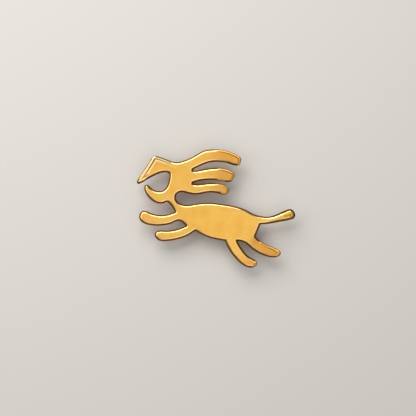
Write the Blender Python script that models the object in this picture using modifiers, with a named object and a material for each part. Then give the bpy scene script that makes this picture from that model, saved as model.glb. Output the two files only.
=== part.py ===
"""Flat hood ornament: a cast brass figure of a running animal, held on a hood by three threaded studs.

The figure faces up (+Z), with its head towards -X and its back towards +Y. Under it, from the top down, each
stud carries a rubber pad, the space for the hood panel, a flat washer, a split lock washer and a hex nut.
The origin is at the middle of the figure's outline, at the level of the stud ends, on which it can stand.
Run it with: blender --background --python part.py
"""

import math

import bmesh
import bpy
from mathutils import Vector

MM = 0.001

# Figure
FIGURE_LENGTH = 152.0 * MM  # nose tip to tail tip
PLATE_THICKNESS = 4.0 * MM
EDGE_RADIUS = 1.0 * MM
BOSS_RADIUS = 5.5 * MM
BOSS_HEIGHT = 1.0 * MM
STUD_DEPTH = 2.2 * MM  # how far a stud goes into the plate

# Lift of the free ends above the flat of the plate
TAIL_LIFT = 3.0 * MM
MANE_LIFT = 3.4 * MM
NOSE_LIFT = 3.0 * MM
HIND_LEG_LIFT = 3.0 * MM
BEND_STEP = 4.0 * MM  # spacing of the cuts that let the plate bend

# Studs and what they carry
STUD_RADIUS = 2.5 * MM
STUD_CHAMFER = 0.5 * MM
THREAD_PITCH = 0.8 * MM
SPARE_TURNS = 2  # thread below a tightened nut, in turns
PAD_RADIUS = 7.0 * MM
PAD_THICKNESS = 1.5 * MM
PAD_SPIGOT_RADIUS = 3.9 * MM
PAD_SPIGOT_LENGTH = 1.6 * MM
PANEL_THICKNESS = 2.1 * MM  # the hood's outer skin and the brace behind it
WASHER_RADIUS = 6.0 * MM
WASHER_THICKNESS = 1.0 * MM
LOCK_WASHER_RADIUS = 4.4 * MM
LOCK_WASHER_THICKNESS = 1.2 * MM
LOCK_WASHER_SLIT = 0.7 * MM
LOCK_WASHER_SLANT = math.radians(25)
NUT_ACROSS_FLATS = 8.0 * MM
NUT_HEIGHT = 4.0 * MM
NUT_FACE_INSET = 0.2 * MM  # from the flats to the round face inside the chamfer
NUT_CHAMFER = math.radians(30)

CLEARANCE = 0.3 * MM  # between any two pieces that touch
ROUND_SIDES = 20
OVERCUT = 1.0 * MM

# The figure is drawn on a grid that is 152 units long. A point is a smooth one unless it is marked SHARP.
DRAWN_LENGTH = 152.0
GRID = FIGURE_LENGTH / DRAWN_LENGTH
SHARP = "VECTOR"
SMOOTH = "AUTO"

FIGURE_OUTLINE = {
    "nose": [(-76, 25.4), (-75, 27.9), (-68.7, 37.5), (-62.6, 46.9), (-61, 49.3), (-58.8, 50.6), (-55.7, 50)],
    "brow": [(-48, 47.5), (-41, 44.9), (-37, 44.6), (-32.5, 45.6), (-25, 48.4), (-18, 52.3)],
    "top_lock": [(-12, 55.5), (-3, 56.9), (8, 55.9), (16, 53.3), (21.5, 50.4), (23.9, 48.2), (23.8, 45),
                 (22.2, 41.9), (20.2, 41.1), (10, 43.8), (0, 44.9), (-9, 43.5), (-18, 39.6)],
    "upper_parting": [(-21, 38.1), (-22, 37.1), (-20.9, 36.4)],
    "middle_lock": [(-12, 37.7), (-2, 39.1), (8, 38.2), (15.5, 35.5), (18, 33), (17, 29.9), (15.4, 26.9),
                    (13.4, 25.6), (5, 26.5), (-3, 27.5), (-12, 27.1)],
    "lower_parting": [(-20, 25.5), (-22, 24.4), (-20.4, 23.5)],
    "bottom_lock": [(-13, 23.7), (-5, 24.6), (3, 23.8), (9.8, 21.3), (12.2, 18.8), (10.4, 14.1), (8.2, 13.3),
                    (0, 15.1), (-7, 15.4), (-20, 13.4), (-27, 14.6)],
    "neck": [(-33.5, 15.8), (-36.8, 14.5), (-38.5, 11.3), (-37.5, 7.6), (-34, 4.7), (-28, 3.4)],
    "back": [(-20, 4.5), (-7, 5.6), (8, 4), (20, 1.8), (29, -1.3), (36, -5.1), (42, -7)],
    "tail": [(49.5, -7.8), (56, -6.4), (67.5, -1.4), (71.4, -0.5), (74.4, -2.3), (76, -6), (75, -9),
             (71.5, -10.6), (60, -12.9), (48, -15), (42.8, -15.2, SHARP)],
    "rump": [(40.9, -20.2), (37.9, -26.8, SHARP)],
    "far_hind_leg": [(43, -31.4), (50, -35.3), (58, -38.7), (61.4, -40.9), (62, -43.4), (58.8, -46.3),
                     (54.5, -47), (45, -44.8), (35, -39.2), (28.5, -33.6), (25.6, -32), (20.6, -31, SHARP)],
    "near_hind_leg": [(24, -37.1), (30.4, -45), (38.5, -50.4), (39.8, -52.9), (37.2, -55.9), (33, -56.8),
                      (27.5, -55.2), (17, -46), (11.5, -37.7), (8.4, -31, SHARP)],
    "belly": [(-4, -28.7), (-12, -25.8), (-20, -21.4, SHARP)],
    "near_front_leg": [(-27, -26), (-36, -29.3), (-47, -31.2), (-54.6, -30.8), (-57.5, -28.7),
                       (-58.9, -25.6), (-58.1, -22.7), (-55.2, -21.3), (-46, -21.3), (-37, -19.7),
                       (-29, -16.6, SHARP)],
    "chest": [(-31.2, -14.5), (-33.6, -12.6), (-36.8, -11.8)],
    "far_front_leg": [(-43, -14.6), (-53, -16.4), (-62, -16.1), (-70.4, -13.7), (-73.4, -10.4), (-73.6, -6),
                      (-71.5, -2.9), (-69.1, -2.1), (-60, -5.3), (-50, -6.3), (-39.6, -3.4, SHARP)],
    "throat": [(-41, -0.4), (-44.6, 4.4), (-47.3, 6.3)],
    "lower_jaw": [(-51, 4.9), (-57, 5.3), (-63.6, 9.2), (-68, 15.8), (-68.8, 21.3), (-67.3, 23),
                  (-65.3, 22.4), (-60.8, 18.7), (-55, 16.7), (-50, 17.9), (-46.8, 22.5)],
    "mouth": [(-44.9, 30), (-44.8, 32.7), (-46.6, 34.5), (-51, 34.7), (-58, 32.2), (-68, 26.8),
              (-73.2, 23.9), (-75, 23.6)],
}

STUD_PLACES = {"head": (-32.0, 30.0), "chest": (-21.0, -7.5), "haunch": (24.0, -14.5)}

# Where each free end starts to rise, on the same grid. The tail and the mane rise along +X, the others along
# the given direction.
TAIL_ROOT = 44.0
TAIL_REACH = 32.0
MANE_ROOT = -12.0
MANE_REACH = 36.0
NOSE_CREASE = Vector((-44.0, 40.0))
NOSE_RISE = Vector((-0.7, 0.71))
NOSE_REACH = 18.0
NOSE_KNEE = 0.25  # the nose is bent over this share of its reach, and flat past it
HIND_LEG_ROOT = Vector((37.0, -31.0))
HIND_LEG_RISE = Vector((0.94, -0.34))
HIND_LEG_REACH = 27.0
ABOVE_TAIL_GAP = -20.0  # the tail is above this, the far hind leg below it
ABOVE_NECK = 10.0  # the mane is above this, the back below it
ABOVE_MOUTH = 23.5  # the nose is above this, the lower jaw below it

# Levels, from the stud ends up
NUT_BOTTOM = SPARE_TURNS * THREAD_PITCH
NUT_TOP = NUT_BOTTOM + NUT_HEIGHT
LOCK_WASHER_BOTTOM = NUT_TOP + CLEARANCE
LOCK_WASHER_TOP = LOCK_WASHER_BOTTOM + LOCK_WASHER_THICKNESS
WASHER_BOTTOM = LOCK_WASHER_TOP + CLEARANCE
WASHER_TOP = WASHER_BOTTOM + WASHER_THICKNESS
PAD_BOTTOM = WASHER_TOP + PANEL_THICKNESS
PAD_TOP = PAD_BOTTOM + PAD_THICKNESS
BOSS_BOTTOM = PAD_TOP + CLEARANCE
PLATE_BOTTOM = BOSS_BOTTOM + BOSS_HEIGHT
HOLE_RADIUS = STUD_RADIUS + CLEARANCE
HOLE_TOP = PLATE_BOTTOM + STUD_DEPTH
STUD_TOP = HOLE_TOP - CLEARANCE


def clear_scene():
    """Empties the scene and makes the collections for the ornament and for the cutters."""
    for obj in list(bpy.data.objects):
        bpy.data.objects.remove(obj)
    parts = bpy.data.collections.new("hood_ornament")
    cutters = bpy.data.collections.new("cutters")
    for collection in (parts, cutters):
        bpy.context.scene.collection.children.link(collection)
    return parts, cutters


def make_material(name, colour, roughness, metallic):
    """A Principled material of one colour."""
    material = bpy.data.materials.new(name)
    material.use_nodes = True
    shader = material.node_tree.nodes["Principled BSDF"]
    shader.inputs["Base Color"].default_value = (*colour, 1.0)
    shader.inputs["Roughness"].default_value = roughness
    shader.inputs["Metallic"].default_value = metallic
    return material


def add_object(name, data, collection):
    """Links a new object that shows the given mesh or curve."""
    obj = bpy.data.objects.new(name, data)
    collection.objects.link(obj)
    return obj


def hide_cutter(obj):
    """Marks an object as a cutter, which isn't part of the ornament."""
    obj.hide_render = True
    obj.display_type = "WIRE"
    return obj


def add_boolean(obj, cutter, operation):
    """Cuts, joins or intersects obj with cutter."""
    boolean = obj.modifiers.new(f"{operation.lower()}_{cutter.name}", "BOOLEAN")
    boolean.operation = operation
    boolean.solver = "EXACT"
    boolean.object = cutter


def add_turned(name, profile, collection):
    """A shape turned about its own Z axis. The profile is (radius, height) points, down the outside and up the
    inside. It is closed where it has a bore and open at the axis where it is solid."""
    is_ring = min(radius for radius, _ in profile) > 0
    mesh = bpy.data.meshes.new(name)
    points = [(radius, 0.0, height) for radius, height in profile]
    edges = [(i, i + 1) for i in range(len(points) - 1)]
    if is_ring:
        edges.append((len(points) - 1, 0))
    mesh.from_pydata(points, edges, [])
    obj = add_object(name, mesh, collection)
    screw = obj.modifiers.new("turn", "SCREW")
    screw.steps = ROUND_SIDES
    screw.render_steps = ROUND_SIDES
    screw.use_merge_vertices = True
    screw.merge_threshold = 0.00001
    return obj


def smooth_round(obj):
    """Shades round faces smooth and leaves edges over 30 degrees sharp."""
    if obj.type == "MESH" and obj.data.polygons:
        obj.data.shade_smooth()
        obj.data.set_sharp_from_angle(angle=math.radians(30))


def ring_profile(inner, outer, bottom, top, chamfer=0.0):
    """The closed section of a ring, with its outer corners cut by the chamfer."""
    if not chamfer:
        return [(outer, top), (outer, bottom), (inner, bottom), (inner, top)]
    return [
        (outer - chamfer, top),
        (outer, top - chamfer),
        (outer, bottom + chamfer),
        (outer - chamfer, bottom),
        (inner, bottom),
        (inner, top),
    ]


def outline_curve(collection):
    """The figure's outline as a filled flat curve with rounded edges, as thick as the plate."""
    curve = bpy.data.curves.new("figure_outline", "CURVE")
    curve.dimensions = "2D"
    curve.fill_mode = "BOTH"
    curve.resolution_u = 3
    curve.extrude = PLATE_THICKNESS / 2 - EDGE_RADIUS
    curve.bevel_depth = EDGE_RADIUS
    curve.bevel_resolution = 1
    curve.offset = -EDGE_RADIUS
    anchors = [anchor for feature in FIGURE_OUTLINE.values() for anchor in feature]
    spline = curve.splines.new("BEZIER")
    spline.bezier_points.add(len(anchors) - 1)
    spline.use_cyclic_u = True
    for point, anchor in zip(spline.bezier_points, anchors):
        kind = anchor[2] if len(anchor) == 3 else SMOOTH
        point.co = (anchor[0] * GRID, anchor[1] * GRID, 0.0)
        point.handle_left_type = kind
        point.handle_right_type = kind
    return add_object("figure_outline", curve, collection)


def rise(travelled, reach, knee=1.0):
    """From 0 at the root to 1 at the end of the reach: bent up to the knee, and straight past it."""
    share = min(max(travelled / reach, 0.0), 1.0)
    bent = min(share, knee)
    return (bent * bent / (2 * knee) + share - bent) / (1 - knee / 2)


def lift_at(x, y):
    """How far the plate is lifted at a point of the drawing grid."""
    place = Vector((x, y))
    if y > ABOVE_TAIL_GAP and x > TAIL_ROOT:
        return TAIL_LIFT * rise(x - TAIL_ROOT, TAIL_REACH)
    if y > ABOVE_NECK and x > MANE_ROOT:
        return MANE_LIFT * rise(x - MANE_ROOT, MANE_REACH)
    if y > ABOVE_MOUTH and x < NOSE_CREASE.x:
        return NOSE_LIFT * rise((place - NOSE_CREASE).dot(NOSE_RISE), NOSE_REACH, NOSE_KNEE)
    if y < ABOVE_TAIL_GAP and x > HIND_LEG_ROOT.x:
        return HIND_LEG_LIFT * rise((place - HIND_LEG_ROOT).dot(HIND_LEG_RISE), HIND_LEG_REACH)
    return 0.0


def bend_free_ends(mesh):
    """Cuts the plate along a grid and lifts its free ends, so that both faces follow the bend."""
    bm = bmesh.new()
    bm.from_mesh(mesh)
    bmesh.ops.remove_doubles(bm, verts=bm.verts, dist=0.00001)
    for side in (1.0, -1.0):
        cap = [face for face in bm.faces if face.normal.z * side > 0.999]
        bmesh.ops.dissolve_faces(bm, faces=cap)
    low = [min(vert.co[axis] for vert in bm.verts) for axis in (0, 1)]
    high = [max(vert.co[axis] for vert in bm.verts) for axis in (0, 1)]
    for axis, normal in ((0, (1, 0, 0)), (1, (0, 1, 0))):
        for step in range(1, int((high[axis] - low[axis]) / BEND_STEP) + 1):
            place = Vector((0, 0, 0))
            place[axis] = low[axis] + step * BEND_STEP
            bent = [face for face in bm.faces if any(lift_of(vert) > 0 for vert in face.verts)]
            cut = {element for face in bent for element in (face, *face.edges, *face.verts)}
            bmesh.ops.bisect_plane(bm, geom=list(cut), plane_co=place, plane_no=normal, dist=0.00001)
    for vert in bm.verts:
        vert.co.z += lift_of(vert)
    bmesh.ops.triangulate(bm, faces=[face for face in bm.faces if len(face.verts) > 4])
    bm.to_mesh(mesh)
    bm.free()


def lift_of(vert):
    """How far the plate is lifted at a vertex."""
    return lift_at(vert.co.x / GRID, vert.co.y / GRID)


def figure_plate(name, collection):
    """The figure's bent plate as one mesh, and the middle of its outline."""
    curve = outline_curve(collection)
    bpy.context.view_layer.update()
    graph = bpy.context.evaluated_depsgraph_get()
    mesh = bpy.data.meshes.new_from_object(curve.evaluated_get(graph))
    data = curve.data
    bpy.data.objects.remove(curve)
    bpy.data.curves.remove(data)
    bend_free_ends(mesh)
    places = [vert.co for vert in mesh.vertices]
    middle = [(min(p[axis] for p in places) + max(p[axis] for p in places)) / 2 for axis in (0, 1)]
    shift = Vector((-middle[0], -middle[1], PLATE_BOTTOM + PLATE_THICKNESS / 2))
    for vert in mesh.vertices:
        vert.co += shift
    return add_object(name, mesh, collection), Vector((middle[0], middle[1], 0.0))


def add_figure(stud_places, cutters, plate, material):
    """Joins the bosses to the plate and bores them for the studs."""
    for stud, place in stud_places.items():
        boss = add_turned(
            f"boss_{stud}",
            [
                (0.0, PLATE_BOTTOM + STUD_DEPTH / 2),
                (BOSS_RADIUS, PLATE_BOTTOM + STUD_DEPTH / 2),
                (BOSS_RADIUS, BOSS_BOTTOM),
                (0.0, BOSS_BOTTOM),
            ],
            cutters,
        )
        bore = add_turned(
            f"bore_{stud}",
            [
                (0.0, HOLE_TOP),
                (HOLE_RADIUS, HOLE_TOP),
                (HOLE_RADIUS, BOSS_BOTTOM - OVERCUT),
                (0.0, BOSS_BOTTOM - OVERCUT),
            ],
            cutters,
        )
        for tool, operation in ((boss, "UNION"), (bore, "DIFFERENCE")):
            tool.location = place
            add_boolean(plate, hide_cutter(tool), operation)
    plate.data.materials.append(material)
    smooth_round(plate)


def add_stud(stud, place, parts, material):
    """A threaded stud, chamfered at both ends."""
    chamfered = STUD_RADIUS - STUD_CHAMFER
    obj = add_turned(
        f"stud_{stud}",
        [
            (0.0, STUD_TOP),
            (chamfered, STUD_TOP),
            (STUD_RADIUS, STUD_TOP - STUD_CHAMFER),
            (STUD_RADIUS, STUD_CHAMFER),
            (chamfered, 0.0),
            (0.0, 0.0),
        ],
        parts,
    )
    obj.location = place
    obj.data.materials.append(material)


def add_pad(stud, place, parts, material):
    """A rubber pad between boss and hood, with a spigot that centres it in the hood's hole."""
    spigot_end = PAD_BOTTOM - PAD_SPIGOT_LENGTH
    obj = add_turned(
        f"rubber_pad_{stud}",
        [
            (PAD_RADIUS, PAD_TOP),
            (PAD_RADIUS, PAD_BOTTOM),
            (PAD_SPIGOT_RADIUS, PAD_BOTTOM),
            (PAD_SPIGOT_RADIUS, spigot_end),
            (HOLE_RADIUS, spigot_end),
            (HOLE_RADIUS, PAD_TOP),
        ],
        parts,
    )
    obj.location = place
    obj.data.materials.append(material)


def add_flat_washer(stud, place, parts, material):
    """The flat washer that bears on the hood's underside."""
    obj = add_turned(
        f"flat_washer_{stud}", ring_profile(HOLE_RADIUS, WASHER_RADIUS, WASHER_BOTTOM, WASHER_TOP), parts
    )
    obj.location = place
    obj.data.materials.append(material)


def add_lock_washer(stud, place, parts, cutters, material):
    """A spring lock washer, squeezed flat, with its slanted slit towards -Y."""
    obj = add_turned(
        f"lock_washer_{stud}",
        ring_profile(HOLE_RADIUS, LOCK_WASHER_RADIUS, LOCK_WASHER_BOTTOM, LOCK_WASHER_TOP),
        parts,
    )
    obj.location = place
    bpy.ops.mesh.primitive_cube_add(size=1.0)
    slit = bpy.context.active_object
    slit.name = f"slit_{stud}"
    for collection in list(slit.users_collection):
        collection.objects.unlink(slit)
    cutters.objects.link(slit)
    slit.scale = (LOCK_WASHER_SLIT, LOCK_WASHER_RADIUS, 4 * LOCK_WASHER_THICKNESS)
    slit.rotation_euler = (0.0, LOCK_WASHER_SLANT, 0.0)
    slit.location = place + Vector(
        (0.0, -(HOLE_RADIUS + LOCK_WASHER_RADIUS) / 2, (LOCK_WASHER_BOTTOM + LOCK_WASHER_TOP) / 2)
    )
    add_boolean(obj, hide_cutter(slit), "DIFFERENCE")
    obj.data.materials.append(material)


def add_nut(stud, place, parts, cutters, material):
    """A hex nut with both faces chamfered, bored for the stud."""
    corner_radius = NUT_ACROSS_FLATS / 2 / math.cos(math.radians(30))
    cone_radius = corner_radius + OVERCUT
    face_radius = NUT_ACROSS_FLATS / 2 - NUT_FACE_INSET
    drop = (cone_radius - face_radius) * math.tan(NUT_CHAMFER)
    bpy.ops.mesh.primitive_cylinder_add(vertices=6, radius=corner_radius, depth=NUT_HEIGHT)
    obj = bpy.context.active_object
    obj.name = f"nut_{stud}"
    for collection in list(obj.users_collection):
        collection.objects.unlink(obj)
    parts.objects.link(obj)
    obj.location = place + Vector((0.0, 0.0, (NUT_BOTTOM + NUT_TOP) / 2))
    chamfer = add_turned(
        f"nut_chamfer_{stud}",
        [
            (0.0, NUT_TOP),
            (face_radius, NUT_TOP),
            (cone_radius, NUT_TOP - drop),
            (cone_radius, NUT_BOTTOM + drop),
            (face_radius, NUT_BOTTOM),
            (0.0, NUT_BOTTOM),
        ],
        cutters,
    )
    bore = add_turned(
        f"nut_bore_{stud}",
        [
            (0.0, NUT_TOP + OVERCUT),
            (HOLE_RADIUS, NUT_TOP + OVERCUT),
            (HOLE_RADIUS, NUT_BOTTOM - OVERCUT),
            (0.0, NUT_BOTTOM - OVERCUT),
        ],
        cutters,
    )
    for tool, operation in ((chamfer, "INTERSECT"), (bore, "DIFFERENCE")):
        tool.location = place
        add_boolean(obj, hide_cutter(tool), operation)
    obj.data.materials.append(material)


def main():
    """Builds the figure, then each stud with what it carries."""
    parts, cutters = clear_scene()
    gold_brass = make_material("gold_brass", (0.83, 0.47, 0.09), 0.3, 1.0)
    stud_brass = make_material("stud_brass", (0.71, 0.48, 0.17), 0.35, 1.0)
    rubber = make_material("rubber", (0.03, 0.03, 0.03), 0.75, 0.0)
    zinc_steel = make_material("zinc_steel", (0.62, 0.62, 0.6), 0.35, 1.0)
    spring_steel = make_material("spring_steel", (0.3, 0.3, 0.31), 0.4, 1.0)
    plate, middle = figure_plate("figure", parts)
    stud_places = {
        stud: Vector((x * GRID, y * GRID, 0.0)) - middle for stud, (x, y) in STUD_PLACES.items()
    }
    add_figure(stud_places, cutters, plate, gold_brass)
    for stud, place in stud_places.items():
        add_stud(stud, place, parts, stud_brass)
        add_pad(stud, place, parts, rubber)
        add_flat_washer(stud, place, parts, zinc_steel)
        add_lock_washer(stud, place, parts, cutters, spring_steel)
        add_nut(stud, place, parts, cutters, zinc_steel)


main()
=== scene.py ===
"""Looks of the hood ornament: a satin gold figure with polished edges on a pale floor, with its studs and nuts.

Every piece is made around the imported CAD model, in metres: +X runs from the nose to the tail, +Y from the legs to
the mane, and +Z out of the figure's face.
"""

import logging
import math
from collections.abc import Callable, Iterable
from dataclasses import dataclass
from enum import Enum

import bpy
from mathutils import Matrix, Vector
from mathutils.kdtree import KDTree


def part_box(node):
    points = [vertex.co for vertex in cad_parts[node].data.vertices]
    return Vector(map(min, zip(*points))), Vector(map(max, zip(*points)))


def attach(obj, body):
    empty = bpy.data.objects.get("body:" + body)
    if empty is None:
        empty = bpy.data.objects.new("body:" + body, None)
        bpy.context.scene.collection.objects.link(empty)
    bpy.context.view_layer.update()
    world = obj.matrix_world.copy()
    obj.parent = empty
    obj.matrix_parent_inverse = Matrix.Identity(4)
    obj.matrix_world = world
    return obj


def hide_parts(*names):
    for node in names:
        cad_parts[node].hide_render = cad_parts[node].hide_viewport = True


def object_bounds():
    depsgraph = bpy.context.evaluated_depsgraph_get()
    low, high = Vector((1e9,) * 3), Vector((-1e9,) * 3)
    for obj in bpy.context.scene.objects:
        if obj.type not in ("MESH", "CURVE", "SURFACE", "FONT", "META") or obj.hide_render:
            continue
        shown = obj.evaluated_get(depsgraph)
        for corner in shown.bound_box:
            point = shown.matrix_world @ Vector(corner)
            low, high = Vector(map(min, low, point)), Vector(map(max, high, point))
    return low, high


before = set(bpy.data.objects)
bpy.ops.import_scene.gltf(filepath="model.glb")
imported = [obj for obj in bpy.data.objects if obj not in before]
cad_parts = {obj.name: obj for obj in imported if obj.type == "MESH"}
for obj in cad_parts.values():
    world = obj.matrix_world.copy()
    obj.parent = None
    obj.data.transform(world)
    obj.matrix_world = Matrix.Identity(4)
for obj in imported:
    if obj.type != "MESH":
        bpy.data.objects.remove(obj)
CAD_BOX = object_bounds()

LOG = logging.getLogger("hood_ornament")
MM = 0.001
SMOOTH_ANGLE = math.radians(38)
COPY_MERGE = 0.001 * MM
TURNED_MERGE = 0.002 * MM
MOST_OF_SIDE = 0.45
Pair = tuple[float, float]
Triple = tuple[float, float, float]
Quad = tuple[float, float, float, float]
Colour = Triple


class Place(Enum):
    """The three places where a stud holds the figure."""

    HEAD = "head"
    CHEST = "chest"
    HAUNCH = "haunch"


# ---------------------------------------------------------------------------------------------------------------
# Shader maths


class Wire:
    """A socket's value in a shader, on which Python's operators add Math nodes."""

    def __init__(self, tree: bpy.types.NodeTree, socket: bpy.types.NodeSocket) -> None:
        """Wraps a socket.

        Args:
            tree: The node tree that the socket is in.
            socket: The output socket.
        """
        self.tree = tree
        self.socket = socket

    def math(self, operation: str, *others: "Wire | float") -> "Wire":
        """Adds a Math node.

        Args:
            operation: The node's operation.
            others: Its other inputs, after this one.

        Returns:
            The node's result.
        """
        node = self.tree.nodes.new("ShaderNodeMath")
        node.operation = operation
        for slot, value in zip(node.inputs, (self, *others)):
            if isinstance(value, Wire):
                self.tree.links.new(value.socket, slot)
            else:
                slot.default_value = value
        return Wire(self.tree, node.outputs[0])

    def __add__(self, other: "Wire | float") -> "Wire":
        """The sum."""
        return self.math("ADD", other)

    def __sub__(self, other: "Wire | float") -> "Wire":
        """The difference."""
        return self.math("SUBTRACT", other)

    def __rsub__(self, other: float) -> "Wire":
        """The difference from a number."""
        return self.math("MULTIPLY", -1.0).math("ADD", other)

    def __mul__(self, other: "Wire | float") -> "Wire":
        """The product."""
        return self.math("MULTIPLY", other)

    __radd__ = __add__
    __rmul__ = __mul__

    def clamped(self) -> "Wire":
        """The value, held between 0 and 1."""
        return self.math("MAXIMUM", 0.0).math("MINIMUM", 1.0)

    def ramp(self, low: float, high: float) -> "Wire":
        """A smooth step from 0 to 1 as the value goes from low to high."""
        node = self.tree.nodes.new("ShaderNodeMapRange")
        node.interpolation_type = "SMOOTHSTEP"
        self.tree.links.new(self.socket, node.inputs["Value"])
        node.inputs["From Min"].default_value = low
        node.inputs["From Max"].default_value = high
        return Wire(self.tree, node.outputs["Result"])


class Dress:
    """One material's node tree, around its Principled shader."""

    def __init__(self, name: str) -> None:
        """Makes an empty material.

        Args:
            name: The material's name.
        """
        self.material = bpy.data.materials.new(name)
        self.material.use_nodes = True
        self.tree = self.material.node_tree
        self.shader = self.tree.nodes["Principled BSDF"]
        self._place: Wire | None = None

    def node(self, kind: str, settings: dict | None = None, inputs: dict | None = None) -> bpy.types.Node:
        """Adds a node.

        Args:
            kind: The node's type.
            settings: Its settings by name, set first.
            inputs: Values or wires by socket name or number.

        Returns:
            The node.
        """
        node = self.tree.nodes.new(kind)
        for key, value in (settings or {}).items():
            setattr(node, key, value)
        for key, value in (inputs or {}).items():
            self.plug(node.inputs[key], value)
        return node

    def plug(self, slot: bpy.types.NodeSocket, value: object) -> None:
        """Sets a socket to a value, or links a wire to it."""
        if isinstance(value, Wire):
            self.tree.links.new(value.socket, slot)
        elif isinstance(value, tuple) and slot.type == "RGBA":
            slot.default_value = (*value, 1.0)
        else:
            slot.default_value = value

    def wire(self, node: bpy.types.Node, output: str | int = 0) -> Wire:
        """A node's output as a wire."""
        return Wire(self.tree, node.outputs[output])

    @property
    def place(self) -> Wire:
        """Object coordinates."""
        if self._place is None:
            self._place = self.wire(self.node("ShaderNodeTexCoord"), "Object")
        return self._place

    def facing(self) -> Wire:
        """How far the surface faces up, from -1 to 1."""
        normal = self.wire(self.node("ShaderNodeTexCoord"), "Normal")
        return self.wire(self.node("ShaderNodeSeparateXYZ", inputs={0: normal}), "Z")

    def stretched(self, scale: Triple) -> Wire:
        """Object coordinates scaled along each axis."""
        return self.wire(self.node("ShaderNodeMapping", inputs={"Vector": self.place, "Scale": scale}))

    def turned_stretch(self, angle: float, scale: Triple) -> Wire:
        """Object coordinates turned about Z, then scaled along each axis."""
        turned = self.wire(self.node("ShaderNodeMapping", inputs={"Vector": self.place, "Rotation": (0, 0, -angle)}))
        return self.wire(self.node("ShaderNodeMapping", inputs={"Vector": turned, "Scale": scale}))

    def noise(self, size: float, detail: float = 3.0, roughness: float = 0.5, where: Wire | None = None) -> Wire:
        """Noise around 0.5.

        Args:
            size: The size of its patches, in metres.
            detail: How many finer octaves it has.
            roughness: How strong the finer octaves are.
            where: The coordinates, if not the object's.

        Returns:
            The noise's value.
        """
        settings = {"Scale": 1.0 / size, "Detail": detail, "Roughness": roughness}
        return self.wire(self.node("ShaderNodeTexNoise", inputs={"Vector": where or self.place, **settings}))

    def attribute(self, name: str) -> Wire:
        """A number stored on the mesh's points."""
        return self.wire(self.node("ShaderNodeAttribute", {"attribute_name": name}), "Fac")

    def blend(self, share: Wire, first: "Wire | Colour", second: "Wire | Colour") -> Wire:
        """A colour between two.

        Args:
            share: 0 for the first, 1 for the second.
            first: A colour.
            second: A colour.

        Returns:
            The mixed colour.
        """
        mix = self.node("ShaderNodeMix", {"data_type": "RGBA"})
        self.plug(mix.inputs["Factor"], share)
        self.plug(mix.inputs[6], first)
        self.plug(mix.inputs[7], second)
        return self.wire(mix, 2)

    def relief(self, height: Wire, depth: float) -> None:
        """Bumps the surface by a height from 0 to 1, over a depth in metres."""
        bump = self.node("ShaderNodeBump", inputs={"Strength": 1.0, "Distance": depth, "Height": height})
        self.plug(self.shader.inputs["Normal"], self.wire(bump))

    def finish(self, **sockets: object) -> bpy.types.Material:
        """Sets the shader's sockets, named with _ for a space, and returns the material."""
        for name, value in sockets.items():
            self.plug(self.shader.inputs[name.replace("_", " ")], value)
        return self.material


# ---------------------------------------------------------------------------------------------------------------
# Finishes


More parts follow.
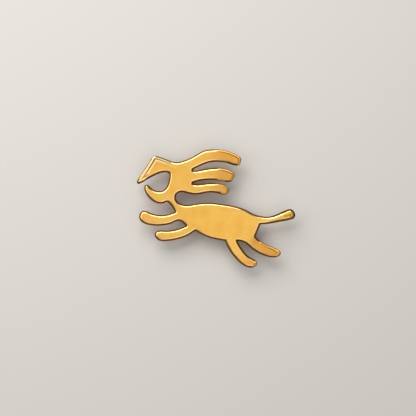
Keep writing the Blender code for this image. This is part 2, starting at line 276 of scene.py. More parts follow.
@dataclass(frozen=True)
class SatinGold:
    """Gold-coloured brass: a satin face, polished edges with a paler painted highlight, painted shade on the sides
    and edges, grooves behind the turned-up rims with painted shade in them, painted highlight lines by the bright
    rims, painted shade and reflections towards the ends, and a rough cast back.

    It reads the numbers that Figure stores on the mesh. Distances from the outline are in millimetres.
    """

    face: Colour = (0.86, 0.50, 0.104)
    worn: Colour = (0.81, 0.445, 0.084)
    # painted shade: a darker, more orange gold for the tilted free ends of the mane and hind legs
    end_shade: Colour = (0.74, 0.355, 0.062)
    # painted shade: the dark gold for the hind leg's root, the brow's fold and the tail's painted reflection marks
    shaded: Colour = (0.40, 0.15, 0.020)
    # the polished band along the edges: real polish, with a paler colour as painted highlight
    edge: Colour = (0.89, 0.73, 0.35)
    # painted highlight: the light lines beside a bright rim's groove
    glint: Colour = (1.0, 0.84, 0.46)
    # painted shade: the dark colour of the edges' rounding and of the sides
    side: Colour = (0.32, 0.105, 0.006)
    # painted shade: the dark line in the grooves of bright rims
    groove: Colour = (0.15, 0.05, 0.005)
    # painted shade: the dark line in the grooves of flat rims
    flat_groove_shade: Colour = (0.12, 0.075, 0.02)
    cast: Colour = (0.50, 0.31, 0.10)
    pitted: Colour = (0.30, 0.17, 0.05)
    grazing: Colour = (0.80, 0.50, 0.20)
    face_roughness: float = 0.34
    edge_roughness: float = 0.17
    side_roughness: float = 0.36
    cast_roughness: float = 0.2
    side_end: Pair = (1.15, 1.95)
    side_drawn_in: float = 0.85
    side_tilt: Pair = (0.1, 0.5)
    polish_end: Pair = (2.3, 2.9)
    polish_share: float = 0.65
    rim_dullness: float = 0.85
    back_tilt: Pair = (-0.85, -0.5)
    patina_size: float = 13 * MM
    speckle_size: float = 1.1 * MM
    pit_size: float = 0.7 * MM
    brush_size: float = 0.6 * MM
    brush_angle: float = math.radians(38)
    brush_stretch: Triple = (0.12, 1.0, 1.0)
    relief_depth: float = 0.02 * MM

    def material(self) -> bpy.types.Material:
        """Makes the material."""
        dress = Dress("satin_gold")
        up = dress.facing()
        away = dress.attribute("edge")
        groove = dress.attribute("groove")
        glint = dress.attribute("glint")
        flat = dress.attribute("flat")
        patina = dress.noise(self.patina_size, 4.0, 0.6)
        speckle = dress.noise(self.speckle_size, 3.0, 0.6)
        brushed = dress.noise(self.brush_size, 2.0, 0.6, dress.turned_stretch(self.brush_angle, self.brush_stretch))

        turned_up = (flat + dress.attribute("bright")).clamped()
        # painted shade near the outline and on surfaces that face sideways or down
        inside = (away + turned_up * self.side_drawn_in).ramp(*self.side_end)
        outline = (1.0 - inside * up.ramp(*self.side_tilt)).clamped()
        polish = (1.0 - away.ramp(*self.polish_end)) * (1.0 - flat * self.rim_dullness)
        behind = 1.0 - up.ramp(*self.back_tilt)
        pits = dress.noise(self.pit_size, 4.0, 0.65)

        colour = dress.blend(patina.ramp(0.35, 0.7), self.face, self.worn)
        # painted shade on the tilted ends of the mane and of the hind legs
        colour = dress.blend(dress.attribute("end_shade"), colour, self.end_shade)
        # polished edges, their paler colour a painted highlight
        colour = dress.blend((polish * self.polish_share).clamped(), colour, self.edge)
        # painted highlight lines by the bright rims
        colour = dress.blend(glint.clamped(), colour, self.glint)
        # painted shade at the hind leg's root and in the brow's fold, and painted reflection lines on the tail's tip
        colour = dress.blend(dress.attribute("shade"), colour, self.shaded)
        # painted shade along the outline and on the sides
        colour = dress.blend(outline, colour, self.side)
        # painted shade in the rims' grooves, which are also cut into the surface
        colour = dress.blend(groove.clamped(), colour, dress.blend(flat, self.groove, self.flat_groove_shade))
        back = dress.blend((pits + patina * 0.5).ramp(0.6, 0.9), self.cast, self.pitted)
        colour = dress.blend(behind, colour, back)

        roughness = self.face_roughness + (patina - 0.5) * 0.08 + (speckle - 0.5) * 0.08
        roughness = roughness + (self.edge_roughness - self.face_roughness) * (polish + glint).clamped()
        roughness = roughness + (self.side_roughness - self.edge_roughness) * (outline + groove * flat).clamped()
        roughness = roughness + behind * self.cast_roughness * pits
        dress.relief(speckle * 0.25 + brushed * 0.2 + patina * 1.2 + behind * pits * 6.0, self.relief_depth)
        return dress.finish(Base_Color=colour, Roughness=roughness, Metallic=1.0, Specular_Tint=self.grazing)


@dataclass(frozen=True)
class TurnedBrass:
    """Plain brass rod, cut with a thread, with painted shade darkening it between its crests. Its two radii are in
    millimetres.
    """

    bright: Colour = (0.80, 0.58, 0.25)
    dark: Colour = (0.42, 0.26, 0.09)
    crest: float = 2.5
    root: float = 2.05

    def material(self) -> bpy.types.Material:
        """Makes the material."""
        dress = Dress("turned_brass")
        depth = dress.attribute("radius")
        stain = dress.noise(2.5 * MM, 3.0)
        # painted shade: darker between the thread's crests
        colour = dress.blend(depth.ramp(self.root, self.crest) * 0.8 + stain * 0.2, self.dark, self.bright)
        dress.relief(dress.noise(0.25 * MM, 2.0, where=dress.stretched((1.0, 1.0, 9.0))), 0.006 * MM)
        return dress.finish(Base_Color=colour, Roughness=0.26 + stain * 0.16, Metallic=1.0)


@dataclass(frozen=True)
class ZincPlate:
    """Bright zinc plating on steel, faintly straw-coloured and clouded."""

    bright: Colour = (0.72, 0.71, 0.66)
    cloud: Colour = (0.56, 0.55, 0.50)

    def material(self) -> bpy.types.Material:
        """Makes the material."""
        dress = Dress("zinc_plate")
        cloud = dress.noise(1.8 * MM, 4.0, 0.65)
        grain = dress.noise(0.22 * MM, 2.0)
        colour = dress.blend(cloud.ramp(0.35, 0.7), self.bright, self.cloud)
        dress.relief(grain * 0.6 + cloud * 0.6, 0.012 * MM)
        return dress.finish(Base_Color=colour, Roughness=0.24 + cloud * 0.22, Metallic=1.0)


@dataclass(frozen=True)
class SpringSteel:
    """Oiled dark spring steel."""

    oiled: Colour = (0.20, 0.20, 0.21)
    worn: Colour = (0.42, 0.42, 0.43)

    def material(self) -> bpy.types.Material:
        """Makes the material."""
        dress = Dress("spring_steel")
        wear = dress.noise(1.2 * MM, 4.0, 0.7)
        grain = dress.noise(0.2 * MM, 2.0)
        colour = dress.blend(wear.ramp(0.52, 0.72), self.oiled, self.worn)
        dress.relief(grain, 0.015 * MM)
        return dress.finish(Base_Color=colour, Roughness=0.30 + wear * 0.25, Metallic=1.0)


@dataclass(frozen=True)
class MouldedRubber:
    """Black moulded rubber with a little bloom on it."""

    black: Colour = (0.018, 0.018, 0.019)
    bloom: Colour = (0.055, 0.054, 0.052)

    def material(self) -> bpy.types.Material:
        """Makes the material."""
        dress = Dress("moulded_rubber")
        bloom = dress.noise(2.6 * MM, 4.0, 0.6)
        grain = dress.noise(0.3 * MM, 3.0)
        colour = dress.blend(bloom.ramp(0.45, 0.75), self.black, self.bloom)
        dress.relief(grain, 0.03 * MM)
        return dress.finish(Base_Color=colour, Roughness=0.55 + bloom * 0.25, Metallic=0.0)


@dataclass(frozen=True)
class PaleFloor:
    """The plain, matt floor under the ornament."""

    colour: Colour = (0.68, 0.66, 0.635)
    patch_tone: float = 0.985

    def material(self) -> bpy.types.Material:
        """Makes the material."""
        dress = Dress("pale_floor")
        grain = dress.noise(3.0 * MM, 3.0)
        colour = dress.blend(grain, self.colour, tuple(c * self.patch_tone for c in self.colour))
        return dress.finish(Base_Color=colour, Roughness=0.9, Specular_IOR_Level=0.1)


# ---------------------------------------------------------------------------------------------------------------
# Mesh work


class Bench:
    """The steps of modelling that every piece shares."""

    @staticmethod
    def deselect() -> None:
        """Leaves edit mode and deselects everything."""
        if bpy.context.mode != "OBJECT":
            bpy.ops.object.mode_set(mode="OBJECT")
        bpy.ops.object.select_all(action="DESELECT")

    @staticmethod
    def activate(obj: bpy.types.Object) -> None:
        """Selects one object alone and makes it active."""
        Bench.deselect()
        obj.select_set(True)
        bpy.context.view_layer.objects.active = obj

    @staticmethod
    def apply(obj: bpy.types.Object, kind: str, **settings: object) -> None:
        """Adds a modifier with these settings and applies it."""
        Bench.activate(obj)
        modifier = obj.modifiers.new(kind.lower(), kind)
        for key, value in settings.items():
            setattr(modifier, key, value)
        bpy.ops.object.modifier_apply(modifier=modifier.name)

    @staticmethod
    def copy_of(node: str, name: str) -> bpy.types.Object:
        """A merged copy of a CAD node, with its own mesh.

        Args:
            node: The CAD node's name.
            name: The new piece's name.

        Returns:
            The copy.
        """
        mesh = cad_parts[node].data.copy()
        mesh.materials.clear()
        obj = bpy.data.objects.new(name, mesh)
        bpy.context.scene.collection.objects.link(obj)
        Bench.activate(obj)
        bpy.ops.object.mode_set(mode="EDIT")
        bpy.ops.mesh.select_all(action="SELECT")
        bpy.ops.mesh.remove_doubles(threshold=COPY_MERGE)
        bpy.ops.object.mode_set(mode="OBJECT")
        return obj

    @staticmethod
    def turned(name: str, profile: list[Pair], steps: int, angle: float = math.tau) -> bpy.types.Object:
        """A closed profile, spun about the Z axis.

        Args:
            name: The piece's name.
            profile: Its section as (radius, height) points, in order, in metres.
            steps: How many steps the turn has.
            angle: How far it turns. Less than a whole turn leaves two ends, which are closed.

        Returns:
            The piece, on the Z axis.
        """
        Bench.deselect()
        bpy.ops.mesh.primitive_circle_add(vertices=len(profile), radius=1.0)
        obj = bpy.context.active_object
        obj.name = name
        for vert, (radius, height) in zip(obj.data.vertices, profile):
            vert.co = (radius, 0.0, height)
        whole = angle >= math.tau
        bpy.ops.object.mode_set(mode="EDIT")
        bpy.ops.mesh.select_all(action="SELECT")
        bpy.ops.mesh.spin(steps=steps, angle=angle, center=(0, 0, 0), axis=(0, 0, 1))
        bpy.ops.mesh.select_all(action="SELECT")
        bpy.ops.mesh.remove_doubles(threshold=TURNED_MERGE)
        if not whole:
            bpy.ops.mesh.fill_holes(sides=0)
        bpy.ops.mesh.select_all(action="SELECT")
        bpy.ops.mesh.normals_make_consistent(inside=False)
        bpy.ops.object.mode_set(mode="OBJECT")
        return obj

    @staticmethod
    def shape(obj: bpy.types.Object, move: Callable[[Vector], Vector]) -> None:
        """Moves each vertex of the mesh to move(its place)."""
        for vert in obj.data.vertices:
            vert.co = move(vert.co.copy())
        obj.data.update()

    @staticmethod
    def duplicate(obj: bpy.types.Object, name: str) -> bpy.types.Object:
        """Copies an object together with its mesh."""
        Bench.activate(obj)
        bpy.ops.object.duplicate(linked=False)
        copy = bpy.context.active_object
        copy.name = copy.data.name = name
        return copy

    @staticmethod
    def slide(obj: bpy.types.Object, by: Vector) -> None:
        """Moves an object's mesh and leaves its origin where it is."""
        Bench.activate(obj)
        bpy.ops.object.mode_set(mode="EDIT")
        bpy.ops.mesh.select_all(action="SELECT")
        bpy.ops.transform.translate(value=by)
        bpy.ops.object.mode_set(mode="OBJECT")

    @staticmethod
    def note(obj: bpy.types.Object, name: str, values: Iterable[float]) -> None:
        """Stores a number on each point of the mesh, for its material to read."""
        layer = obj.data.attributes.new(name, "FLOAT", "POINT")
        layer.data.foreach_set("value", list(values))

    @staticmethod
    def ship(obj: bpy.types.Object, node: str, body: str, slot: str, material: bpy.types.Material) -> None:
        """Dresses a finished piece and puts it in the place of its CAD node.

        Args:
            obj: The piece, with its place in its mesh.
            node: The CAD node that it stands for.
            body: The body that it moves with.
            slot: The record's material slot. It is not used.
            material: Its finish.
        """
        obj.data.materials.clear()
        obj.data.materials.append(material)
        Bench.activate(obj)
        bpy.ops.object.shade_smooth_by_angle(angle=SMOOTH_ANGLE)
        Bench.deselect()
        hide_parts(node)
        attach(obj, body)
        LOG.info("%s: %d faces, rides on %s", obj.name, len(obj.data.polygons), body)


def step(low: float, high: float, value: float) -> float:
    """A smooth step from 0 at low to 1 at high."""
    share = min(max((value - low) / (high - low), 0.0), 1.0)
    return share * share * (3.0 - 2.0 * share)


def bell(away: float, width: float) -> float:
    """A bell curve that is 1 at 0 and has fallen to about a third at its width."""
    return math.exp(-((away / width) ** 2))


def rounded(points: list[Pair], radius: float, parts: int = 4) -> list[Pair]:
    """A closed section with its corners rounded.

    Args:
        points: The corners as (radius, height), in order.
        radius: The corners' radius.
        parts: How many parts each rounding has.

    Returns:
        The rounded section's points.
    """
    out = []
    for i, point in enumerate(points):
        here, before, after = Vector(point), Vector(points[i - 1]), Vector(points[(i + 1) % len(points)])
        back, on = (before - here), (after - here)
        reach = min(radius, back.length * MOST_OF_SIDE, on.length * MOST_OF_SIDE)
        start, end = here + back.normalized() * reach, here + on.normalized() * reach
        for k in range(parts + 1):
            t = k / parts
            out.append(tuple(start * (1 - t) ** 2 + here * 2 * t * (1 - t) + end * t * t))
    return out


# ---------------------------------------------------------------------------------------------------------------
# The figure


@dataclass(frozen=True)
class Rim:
    """A stretch of the outline where the plate is turned up, with a groove behind its edge that is also painted dark
    as shade.

    Each point of its path is (x, y, strength, distance of the line from the edge), in millimetres. A bright rim keeps
    some of its rounding and has a painted highlight line on each side of the dark one.
    """

    path: tuple[Quad, ...]
    bright: float = 0.0
    spacing: float = 0.2

    def samples(self) -> list[Quad]:
        """The path's points, filled in closely."""
        out = []
        for start, end in zip(self.path, self.path[1:]):
            parts = max(1, math.ceil(math.dist(start[:2], end[:2]) / self.spacing))
            out += [tuple(a + (b - a) * i / parts for a, b in zip(start, end)) for i in range(parts + 1)]
        return out


@dataclass(frozen=True)
class RimHere:
    """What one point of the mesh has of the nearest rim."""

    power: float
    line: float
    bright: float


NOSE = Rim(
    (
        (-75.4, 26.0, 0, 3.4),
        (-73.2, 30.5, 0.35, 3.4),
        (-68.7, 37.5, 0.7, 3.4),
        (-62.6, 46.9, 1, 3.3),
        (-61, 49.3, 1, 3.0),
        (-58.8, 50.6, 1, 2.8),
        (-55.7, 50, 0.8, 2.7),
        (-48, 47.5, 0.65, 2.7),
        (-41, 44.9, 0.15, 2.7),
        (-38, 44.6, 0, 2.7),
    ),
    1.0,
)
TOP_LOCK = Rim(
    (
        (-1, 56.6, 0, 2.3),
        (4, 56.4, 0.5, 2.3),
        (10, 55.4, 0.9, 2.3),
        (16, 53.3, 1, 2.3),
        (21.5, 50.4, 1, 2.3),
        (23.9, 48.2, 1, 2.3),
        (23.8, 45, 0.9, 2.2),
        (22.2, 41.9, 0.7, 2.0),
        (20.5, 41.1, 0, 2.0),
    )
)
MIDDLE_LOCK = Rim(
    (
        (1, 39.1, 0, 2.3),
        (7, 38.4, 0.8, 2.3),
        (15.5, 35.5, 0.95, 2.3),
        (18, 33, 0.9, 2.0),
        (17, 29.9, 0.8, 1.7),
        (15.4, 26.9, 0.6, 1.6),
        (13.8, 25.7, 0, 1.6),
    )
)
BOTTOM_LOCK = Rim(
    (
        (-2, 24.6, 0, 1.8),
        (3, 23.8, 0.4, 1.8),
        (9.8, 21.3, 0.6, 1.8),
        (12.2, 18.8, 0.8, 1.7),
        (11.5, 16.5, 0.8, 1.7),
        (10.4, 14.1, 0.3, 1.7),
    )
)
FAR_HIND_LEG = Rim(
    (
        (41, -30, 0, 2.1),
        (45, -32.6, 0.4, 2.1),
        (50, -35.3, 0.6, 2.1),
        (54, -37.0, 0.9, 2.2),
        (58, -38.7, 1, 2.6),
        (61.0, -40.7, 0.7, 3.0),
        (62, -43.4, 0.1, 3.0),
    )
)
NEAR_HIND_LEG = Rim(
    ((38.5, -50.4, 0.1, 2.2), (39.8, -52.9, 0.9, 2.0), (37.2, -55.9, 0.5, 2.0), (35, -56.5, 0, 2.0))
)
RIMS = (NOSE, TOP_LOCK, MIDDLE_LOCK, BOTTOM_LOCK, FAR_HIND_LEG, NEAR_HIND_LEG)


@dataclass(frozen=True)
class Tones:
    """Where painted shade and painted reflections darken the figure's gold. Places and widths are in millimetres."""

    end_shade_strength: float = 0.95
    mane_reach: Pair = (-14.0, 15.0)
    mane_above: Pair = (10.0, 14.0)
    hind_reach: Pair = (24.0, 42.0)
    hind_below: Pair = (-24.0, -34.0)
    root_place: Pair = (37.5, -31.5)
    root_size: Pair = (4.0, 3.5)
    root_share: float = 0.42
    fold_place: Pair = (-44.0, 39.5)
    fold_across: Pair = (0.62, 0.78)
    fold_width: float = 1.4
    fold_length: float = 5.0
    fold_share: float = 0.16
    # painted reflection: a ring and two dark lines on the tail's rounded tip
    ring_place: Pair = (72.4, -6.7)
    ring_radius: float = 1.2
    tail_lines: tuple[Quad, ...] = ((63.6, -4.9, 72.3, -3.0), (65.6, -7.5, 71.3, -6.0))
    mark_width: float = 0.5
    mark_share: float = 1.1
    mark_above: Pair = (10.0, 14.0)

    def end_shade(self, co: Vector) -> float:
        """How much painted shade, darker and more orange gold, lies towards the ends of the mane and of the hind
        legs, from 0 to 1.
        """
        mane = step(*self.mane_reach, co.x) * step(*self.mane_above, co.y)
        hind = step(*self.hind_reach, co.x - 0.3 * co.y - 10.0) * step(*self.hind_below, co.y)
        return self.end_shade_strength * max(mane, hind)

    def shade(self, co: Vector) -> float:
        """How much painted shade darkens the face at the far hind leg's root and in the brow's fold, and how strong
        the painted reflection marks on the tail's tip are.
        """
        root = bell(co.x - self.root_place[0], self.root_size[0]) * bell(co.y - self.root_place[1], self.root_size[1])
        x, y = co.x - self.fold_place[0], co.y - self.fold_place[1]
        fold = bell(x * self.fold_across[0] + y * self.fold_across[1], self.fold_width) * bell(x, self.fold_length)
        # painted reflection marks on the tail's tip
        tail_reflection = bell(self.from_marks(co.xy), self.mark_width) * step(*self.mark_above, co.z)
        return min(1.0, self.root_share * root + self.fold_share * fold + self.mark_share * tail_reflection)

    def from_marks(self, place: Vector) -> float:
        """How far a point is from the two lines and the ring of painted reflection on the tail's tip."""
        away = [abs((place - Vector(self.ring_place)).length - self.ring_radius)]
        for x1, y1, x2, y2 in self.tail_lines:
            start, along = Vector((x1, y1)), Vector((x2 - x1, y2 - y1))
            share = min(max((place - start).dot(along) / along.length_squared, 0.0), 1.0)
            away.append((place - start - along * share).length)
        return min(away)


@dataclass
class Figure:
    """The cast figure: the CAD plate with rounded edges, a round tail and crisp rims at its free ends.

    Apart from the voxel, its lengths are in millimetres.
    """

    voxel: float = 0.52 * MM
    cast_smoothing: int = 4
    fitted_smoothing: int = 2
    refined_smoothing: int = 3
    side_steepness: float = 0.2
    outline_spacing: float = 0.12
    boss_radius: float = 5.8
    rim_reach: Pair = (4.8, 7.0)
    refined_power: float = 0.05
    refined_front: float = 0.35
    refined_reach: float = 1.2
    bright_reach: float = 1.8
    front_tilt: Pair = (0.0, 0.5)
    full_rim: float = 0.3
    groove_width: float = 0.62
    groove_depth: float = 0.24
    glint_before: float = 1.3
    glint_behind: float = 1.2
    glint_width: float = 0.55
    glint_gain: float = 1.4
    rounding: float = 0.14
    rounding_width: float = 2.9
    sculpted_tilt: Pair = (0.0, 0.6)
    flat_share: float = 0.9
    bright_share: float = 0.6
    shallow_share: float = 0.6
    tail_root: float = 44.0
    tail_reach: float = 14.0
    tail_drop: float = 1.798
    tail_half_width: float = 3.9
    tail_tilt: Pair = (-0.2, 0.7)
    above_tail_gap: float = -20.0

    def build(self, finish: bpy.types.Material) -> bpy.types.Object:
        """Models the figure and dresses it.

        Args:
            finish: Its material.

        Returns:
            The finished piece.
        """
        form = Bench.copy_of("figure", "figure_form")
        outline = self.outline(form)
        obj = self.remeshed(form)
        self.refine(obj, self.distances(obj, outline), self.rims(obj))
        Bench.apply(obj, "SMOOTH", factor=0.5, iterations=self.refined_smoothing)
        away = self.distances(obj, outline)
        fronts = [step(*self.front_tilt, item.vector[2]) for item in obj.data.vertex_normals]
        rims = [RimHere(rim.power * front, rim.line, rim.bright) for rim, front in zip(self.rims(obj), fronts)]
        groove = [self.groove(near, rim) for near, rim in zip(away, rims)]
        turned = [min(1.0, rim.power / self.full_rim) for rim in rims]
        flat = [share * (1.0 - rim.bright) for share, rim in zip(turned, rims)]
        bright = [share * rim.bright for share, rim in zip(turned, rims)]
        self.sculpt(obj, away, groove, [self.flat_share * a + self.bright_share * b for a, b in zip(flat, bright)])
        tones = Tones()
        places = [vert.co / MM for vert in obj.data.vertices]
        Bench.note(obj, "edge", away)
        # the groove's depth, cut into the surface and also painted dark as shade
        Bench.note(obj, "groove", groove)
        # painted highlight lines, stored for the material
        Bench.note(obj, "glint", [self.glint(near, rim) for near, rim in zip(away, rims)])
        Bench.note(obj, "flat", flat)
        Bench.note(obj, "bright", bright)
        # painted shade at the free ends, stored for the material
        Bench.note(obj, "end_shade", [tones.end_shade(place) for place in places])
        # painted shade and painted reflection marks, stored for the material
        Bench.note(obj, "shade", [tones.shade(place) for place in places])
        bpy.data.objects.remove(form)
        Bench.ship(obj, "figure", "ornament", "gold_brass", finish)
        return obj

    def remeshed(self, form: bpy.types.Object) -> bpy.types.Object:
        """A copy of the CAD figure in small even faces, with softened edges.

        Args:
            form: The CAD figure, merged.

        Returns:
            The copy.
        """
        obj = Bench.copy_of("figure", "gold_figure")
        Bench.apply(obj, "REMESH", mode="VOXEL", voxel_size=self.voxel, use_smooth_shade=True)
        Bench.apply(obj, "SMOOTH", factor=0.5, iterations=self.cast_smoothing)
        Bench.apply(obj, "SHRINKWRAP", target=form, wrap_method="NEAREST_SURFACEPOINT")
        Bench.apply(obj, "SMOOTH", factor=0.5, iterations=self.fitted_smoothing)
        return obj

    def outline(self, form: bpy.types.Object) -> list[Vector]:
        """Points along the figure's outline, close together.

        Args:
            form: The CAD figure, merged.

        Returns:
            The points, at height 0.
        """
        seats = [sum(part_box(f"stud_{place.value}"), Vector()) / 2 for place in Place]
        samples = []
        verts = form.data.vertices
        for face in form.data.polygons:
            near_seat = any((face.center - seat).xy.length < self.boss_radius * MM for seat in seats)
            if abs(face.normal.z) > self.side_steepness or near_seat:
                continue
            for a, b in face.edge_keys:
                start, end = verts[a].co.xy, verts[b].co.xy
                parts = max(1, math.ceil((end - start).length / (self.outline_spacing * MM)))
                samples += [start.lerp(end, i / parts).to_3d() for i in range(parts + 1)]
        return samples

    def distances(self, obj: bpy.types.Object, outline: list[Vector]) -> list[float]:
        """Each point's distance from the outline, seen from above, in millimetres."""
        tree = KDTree(len(outline))
        for i, point in enumerate(outline):
            tree.insert(point, i)
        tree.balance()
        return [tree.find((vert.co.x, vert.co.y, 0.0))[2] / MM for vert in obj.data.vertices]

    def rims(self, obj: bpy.types.Object) -> list[RimHere]:
        """The turned-up rim at each point of the mesh."""
        samples = [(*sample, rim.bright) for rim in RIMS for sample in rim.samples()]
        tree = KDTree(len(samples))
        for i, sample in enumerate(samples):
            tree.insert((sample[0], sample[1], 0.0), i)
        tree.balance()
        out = []
        for vert in obj.data.vertices:
            _, nearest, distance = tree.find((vert.co.x / MM, vert.co.y / MM, 0.0))
            _, _, power, line, bright = samples[nearest]
            out.append(RimHere(power * (1.0 - step(*self.rim_reach, distance)), line, bright))
        return out

    def refine(self, obj: bpy.types.Object, away: list[float], rims: list[RimHere]) -> None:
        """Divides the faces that the rims' lines cross.

        Args:
            obj: The remeshed figure.
            away: Each point's distance from the outline.
            rims: The rim at each point.
        """
        Bench.activate(obj)
        for face in obj.data.polygons:
            crossed = any(self.crosses(away[i], rims[i]) for i in face.vertices)
            face.select = crossed and face.normal.z > self.refined_front
        bpy.ops.object.mode_set(mode="EDIT")
        bpy.ops.mesh.subdivide(number_cuts=2)
        bpy.ops.object.mode_set(mode="OBJECT")

    def crosses(self, near: float, rim: RimHere) -> bool:
        """Whether a point this near the outline lies by a rim's lines."""
        before = self.refined_reach + self.bright_reach * rim.bright
        return rim.power > self.refined_power and -before < near - rim.line < self.refined_reach + rim.bright

    def groove(self, near: float, rim: RimHere) -> float:
        """How deep the rim's groove is at a point this near the outline, from 0 to 1."""
        return rim.power * bell(near - rim.line, self.groove_width)

    def glint(self, near: float, rim: RimHere) -> float:
        """How strong a bright rim's painted highlight lines are at a point this near the outline."""
        lines = (rim.line - self.glint_before, rim.line + self.glint_behind)
        power = rim.bright * min(1.0, rim.power * self.glint_gain)
        return power * sum(bell(near - line, self.glint_width) for line in lines)

    def sculpt(self, obj: bpy.types.Object, away: list[float], groove: list[float], level: list[float]) -> None:
        """Rounds the face off along its edges, cuts the rims' grooves and rounds the tail.

        Args:
            obj: The refined figure.
            away: Each point's distance from the outline.
            groove: How deep a rim's groove is at each point, from 0 to 1.
            level: How far the rounding is left out at each point, from 0 to 1.
        """
        ups = [item.vector[2] for item in obj.data.vertex_normals]
        for vert, near, cut, share, up in zip(obj.data.vertices, away, groove, level, ups):
            drop = self.rounding * max(0.0, self.rounding_width - near) ** 2 * (1.0 - share)
            sink = self.groove_depth * cut * (1.0 - self.shallow_share * share)
            vert.co.z -= step(*self.sculpted_tilt, up) * (sink + drop) * MM
            self.round_tail(vert.co, near, up)
        obj.data.update()

    def round_tail(self, co: Vector, near: float, up: float) -> None:
        """Makes the tail's section a half round, more so towards its tip.

        Args:
            co: The point, which is moved.
            near: Its distance from the outline.
            up: How far the surface there faces up.
        """
        share = step(self.tail_root, self.tail_root + self.tail_reach, co.x / MM)
        if co.y / MM < self.above_tail_gap or share <= 0.0:
            return
        across = min(near / self.tail_half_width, 1.0)
        crown = math.sqrt(max(0.0, 1.0 - (1.0 - across) ** 2))
        co.z -= step(*self.tail_tilt, up) * share * self.tail_drop * (1.0 - crown) * MM


# ---------------------------------------------------------------------------------------------------------------
# What each stud carries


@dataclass
class Fixing:
    """A threaded stud, its rubber pad, flat washer, lock washer and nut, modelled once and copied to each place."""

    pitch: float = 0.8 * MM
    thread_depth: float = 0.42 * MM
    thread_parts: int = 9
    tooth_slope: float = 2.6
    tooth_root: float = 0.3
    stud_chamfer: float = 0.55 * MM
    round_steps: int = 64
    pad_thickness: float = 1.5 * MM
    pad_bore: float = 2.8 * MM
    spigot_radius: float = 3.9 * MM
    pad_rounding: float = 0.35 * MM
    washer_bore: float = 2.8 * MM
    washer_rounding: float = 0.28 * MM
    slit: float = 0.7 * MM
    slit_slant: float = math.radians(25)
    spring_bore: float = 2.85 * MM
    spring_lift: float = 0.14 * MM
    spring_slack: float = 0.01 * MM
    spring_rounding: float = 0.16 * MM
    nut_steps: int = 96
    nut_across: float = 8.0 * MM
    nut_face: float = 3.8 * MM
    nut_bore: float = 2.62 * MM
    nut_thread: float = 0.28 * MM
    nut_mouth: float = 0.25 * MM
    nut_corner_wear: float = 0.06 * MM
    nut_chamfer: float = math.pi / 6
    tolerance: float = 1e-7

    def span(self, piece: str) -> Triple:
        """A piece's lowest height, highest height and outer radius."""
        low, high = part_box(f"{piece}_{Place.HEAD.value}")
        return low.z, high.z, (high.x - low.x) / 2

    def tooth(self, turns: float) -> float:
        """How deep the thread is, from 0 to 1, at a number of pitches along it."""
        return min(max(abs(turns % 1.0 - 0.5) * self.tooth_slope - self.tooth_root, 0.0), 1.0)

    def spread(self, obj: bpy.types.Object, piece: str, body: str, slot: str, finish: bpy.types.Material) -> None:
        """Copies a piece, modelled on the Z axis, onto each stud's axis, and ships the copies.

        Args:
            obj: The piece, which is removed at the end.
            piece: What its CAD nodes' names begin with.
            body: The body that it rides on, with * for the place.
            slot: Its material slot.
            finish: Its material.
        """
        for place in Place:
            low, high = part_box(f"stud_{place.value}")
            copy = Bench.duplicate(obj, f"{obj.name}_{place.value}")
            Bench.slide(copy, Vector(((low.x + high.x) / 2, (low.y + high.y) / 2, 0.0)))
            Bench.ship(copy, f"{piece}_{place.value}", body.replace("*", place.value), slot, finish)
        bpy.data.objects.remove(obj)

    def stud(self) -> bpy.types.Object:
        """Models the stud with its helical thread."""
        bottom, top, radius = self.span("stud")
        rings = round((top - bottom) / (self.pitch / self.thread_parts))
        wall = [(radius, top - (top - bottom) * i / rings) for i in range(rings + 1)]
        obj = Bench.turned("threaded_stud", [(0.0, top), *wall, (0.0, bottom)], self.round_steps)

        def cut(co: Vector) -> Vector:
            """Cuts the thread and the ends' chamfers."""
            span = co.xy.length
            if span < radius * 0.5:
                return co
            turn = math.atan2(co.y, co.x) / math.tau
            end = min(co.z - bottom, top - co.z)
            cut_radius = radius - self.thread_depth * self.tooth(co.z / self.pitch - turn)
            reach = min(cut_radius, radius - self.stud_chamfer + end)
            return Vector((co.x * reach / span, co.y * reach / span, co.z))

        Bench.shape(obj, cut)
        Bench.note(obj, "radius", [vert.co.xy.length / MM for vert in obj.data.vertices])
        return obj

    def pad(self) -> bpy.types.Object:
        """Models the rubber pad and the spigot that centres it."""
        bottom, top, radius = self.span("rubber_pad")
        seat, bore, spigot = top - self.pad_thickness, self.pad_bore, self.spigot_radius
        section = [(radius, top), (radius, seat), (spigot, seat), (spigot, bottom), (bore, bottom), (bore, top)]
        return Bench.turned("moulded_pad", rounded(section, self.pad_rounding), self.round_steps)

    def flat_washer(self) -> bpy.types.Object:
        """Models the stamped flat washer."""
        bottom, top, radius = self.span("flat_washer")
        bore = self.washer_bore
        section = [(radius, top), (radius, bottom), (bore, bottom), (bore, top)]
        return Bench.turned("stamped_washer", rounded(section, self.washer_rounding), self.round_steps)

    def lock_washer(self) -> bpy.types.Object:
        """Models the split spring washer, with its slanted ends."""
        bottom, top, radius = self.span("lock_washer")
        trim = self.spring_lift / 2 + self.spring_slack
        outer, inner, middle = radius - trim, self.spring_bore, (bottom + top) / 2
        gap = self.slit / ((inner + radius) / 2)
        section = [(outer, top - trim), (outer, bottom + trim), (inner, bottom + trim), (inner, top - trim)]
        section = rounded(section, self.spring_rounding, 3)
        obj = Bench.turned("split_washer", section, self.round_steps, math.tau - gap)

        def slant(co: Vector) -> Vector:
            """Turns the slit towards -Y, slants it and springs its ends a little apart."""
            span = co.xy.length
            turn = math.atan2(co.y, co.x) % math.tau
            lift = (turn / math.tau - 0.5) * self.spring_lift
            turn += gap / 2 - math.pi / 2 + (co.z - middle) * math.tan(self.slit_slant) / span
            return Vector((span * math.cos(turn), span * math.sin(turn), co.z + lift))

        Bench.shape(obj, slant)
        return obj

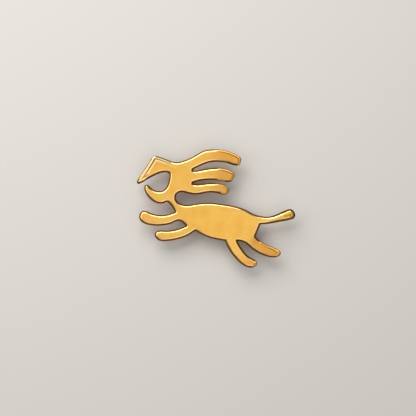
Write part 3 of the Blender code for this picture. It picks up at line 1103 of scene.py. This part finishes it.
    def nut(self) -> bpy.types.Object:
        """Models the hex nut, with its chamfers and inner thread."""
        bottom, top, _ = self.span("nut")
        middle, half = (bottom + top) / 2, (top - bottom) / 2
        corner = self.nut_across / 2 / math.cos(math.pi / 6)
        bore, face = self.nut_bore, self.nut_face
        mouth = bore + self.nut_thread + self.nut_mouth
        flat = [(corner - (corner - face) * t / 6, half) for t in range(6)]
        ring = [(face - (face - mouth) * t / 2, half) for t in range(2)]
        inside = round(2 * half / (self.pitch / self.thread_parts))
        hole = [(mouth if i in (0, inside) else bore, half - 2 * half * i / inside) for i in range(inside + 1)]
        lower = [(r, -z) for r, z in reversed([*flat, *ring])]
        outside = [(corner, -half + 2 * half * t / 8) for t in range(1, 8)]
        obj = Bench.turned("hex_nut", [*flat, *ring, *hole, *lower, *outside], self.nut_steps)

        def dress_hex(co: Vector) -> Vector:
            """Pulls the outside to a hexagon with chamfered corners, and cuts the thread inside."""
            span = co.xy.length
            turn = math.atan2(co.y, co.x)
            reach, rise = span, 1.0
            if span > face + self.tolerance:
                off = (turn - math.pi / 6) % (math.pi / 3) - math.pi / 6
                hexagon = min(self.nut_across / 2 / math.cos(off), corner - self.nut_corner_wear)
                reach = face + (span - face) / (corner - face) * (hexagon - face)
                rise = 1.0 - (reach - face) * math.tan(self.nut_chamfer) / half
            elif span < bore + self.tolerance:
                reach = bore + self.nut_thread * self.tooth((co.z + middle) / self.pitch - turn / math.tau)
            return Vector((co.x * reach / span, co.y * reach / span, middle + co.z * rise))

        Bench.shape(obj, dress_hex)
        return obj

    def build(self) -> None:
        """Models the five pieces and copies each to the three places."""
        zinc = ZincPlate().material()
        self.spread(self.stud(), "stud", "ornament", "stud_brass", TurnedBrass().material())
        self.spread(self.pad(), "rubber_pad", "ornament", "rubber", MouldedRubber().material())
        self.spread(self.flat_washer(), "flat_washer", "washers_*", "zinc_steel", zinc)
        self.spread(self.lock_washer(), "lock_washer", "washers_*", "spring_steel", SpringSteel().material())
        self.spread(self.nut(), "nut", "nut_*", "zinc_steel", zinc)


# ---------------------------------------------------------------------------------------------------------------
# The studio


@dataclass(frozen=True)
class Lamp:
    """A soft rectangular light that faces the figure. Its sizes are in metres and its power in watts."""

    name: str
    place: Triple
    size: Pair
    power: float
    colour: Colour

    def hang(self) -> None:
        """Adds the light to the scene."""
        data = bpy.data.lights.new(self.name, "AREA")
        data.shape = "RECTANGLE"
        data.size, data.size_y = self.size
        data.energy = self.power
        data.color = self.colour
        obj = bpy.data.objects.new(self.name, data)
        obj.location = self.place
        obj.rotation_mode = "QUATERNION"
        obj.rotation_quaternion = (-Vector(self.place)).to_track_quat("-Z", "Y")
        bpy.context.scene.collection.objects.link(obj)


LAMPS = (
    Lamp("key", (-0.36, 0.90, 1.0), (1.3, 0.95), 16.5, (1.0, 0.985, 0.96)),
    Lamp("overhead", (0.20, -0.12, 1.40), (1.05, 0.95), 2.8, (1.0, 0.98, 0.96)),
    Lamp("left_card", (-0.92, 0.06, 0.88), (0.6, 1.2), 3.2, (1.0, 0.95, 0.88)),
    Lamp("low_fill", (0.1, -0.75, 1.15), (1.0, 0.35), 1.2, (1.0, 0.80, 0.52)),
)


@dataclass
class Studio:
    """The floor, the camera straight above and the soft lights. Its lengths are in metres, and the lens in mm."""

    view_centre: Pair = (-7.7 * MM, 0.5 * MM)
    view_width: float = 400.0 * MM
    view_level: float = 15.5 * MM
    lens: float = 110.0
    clip: Pair = (0.01, 20.0)
    floor_side: float = 6.0
    air_colour: Colour = (0.95, 0.97, 1.0)
    air_strength: float = 0.26

    def floor(self) -> None:
        """Lays the floor under the stud ends."""
        Bench.deselect()
        bpy.ops.mesh.primitive_plane_add(size=self.floor_side, location=(0, 0, CAD_BOX[0].z))
        plane = bpy.context.active_object
        plane.name = "floor"
        bpy.ops.object.transform_apply(location=True, rotation=True, scale=True)
        plane.data.materials.append(PaleFloor().material())

    def camera(self) -> None:
        """Hangs the camera straight above the figure."""
        data = bpy.data.cameras.new("camera")
        data.lens = self.lens
        data.clip_start, data.clip_end = self.clip
        height = self.view_width / 2 / (data.sensor_width / 2 / self.lens)
        obj = bpy.data.objects.new("camera", data)
        obj.location = (*self.view_centre, self.view_level + height)
        bpy.context.scene.collection.objects.link(obj)
        bpy.context.scene.camera = obj

    def world(self) -> None:
        """Makes a dim, even surrounding."""
        world = bpy.data.worlds.new("surrounding")
        world.use_nodes = True
        back = world.node_tree.nodes["Background"]
        back.inputs["Color"].default_value = (*self.air_colour, 1.0)
        back.inputs["Strength"].default_value = self.air_strength
        bpy.context.scene.world = world

    def build(self) -> None:
        """Sets up the floor, the camera and the lights."""
        self.floor()
        self.camera()
        self.world()
        for lamp in LAMPS:
            lamp.hang()
        scene = bpy.context.scene
        scene.view_settings.view_transform = "Standard"
        scene.view_settings.look = "None"


def main() -> None:
    """Builds the figure, its fixings and the studio."""
    logging.basicConfig(level=logging.INFO, format="%(name)s: %(message)s")
    Figure().build(SatinGold().material())
    Fixing().build()
    Studio().build()


if __name__ == "__main__":
    main()
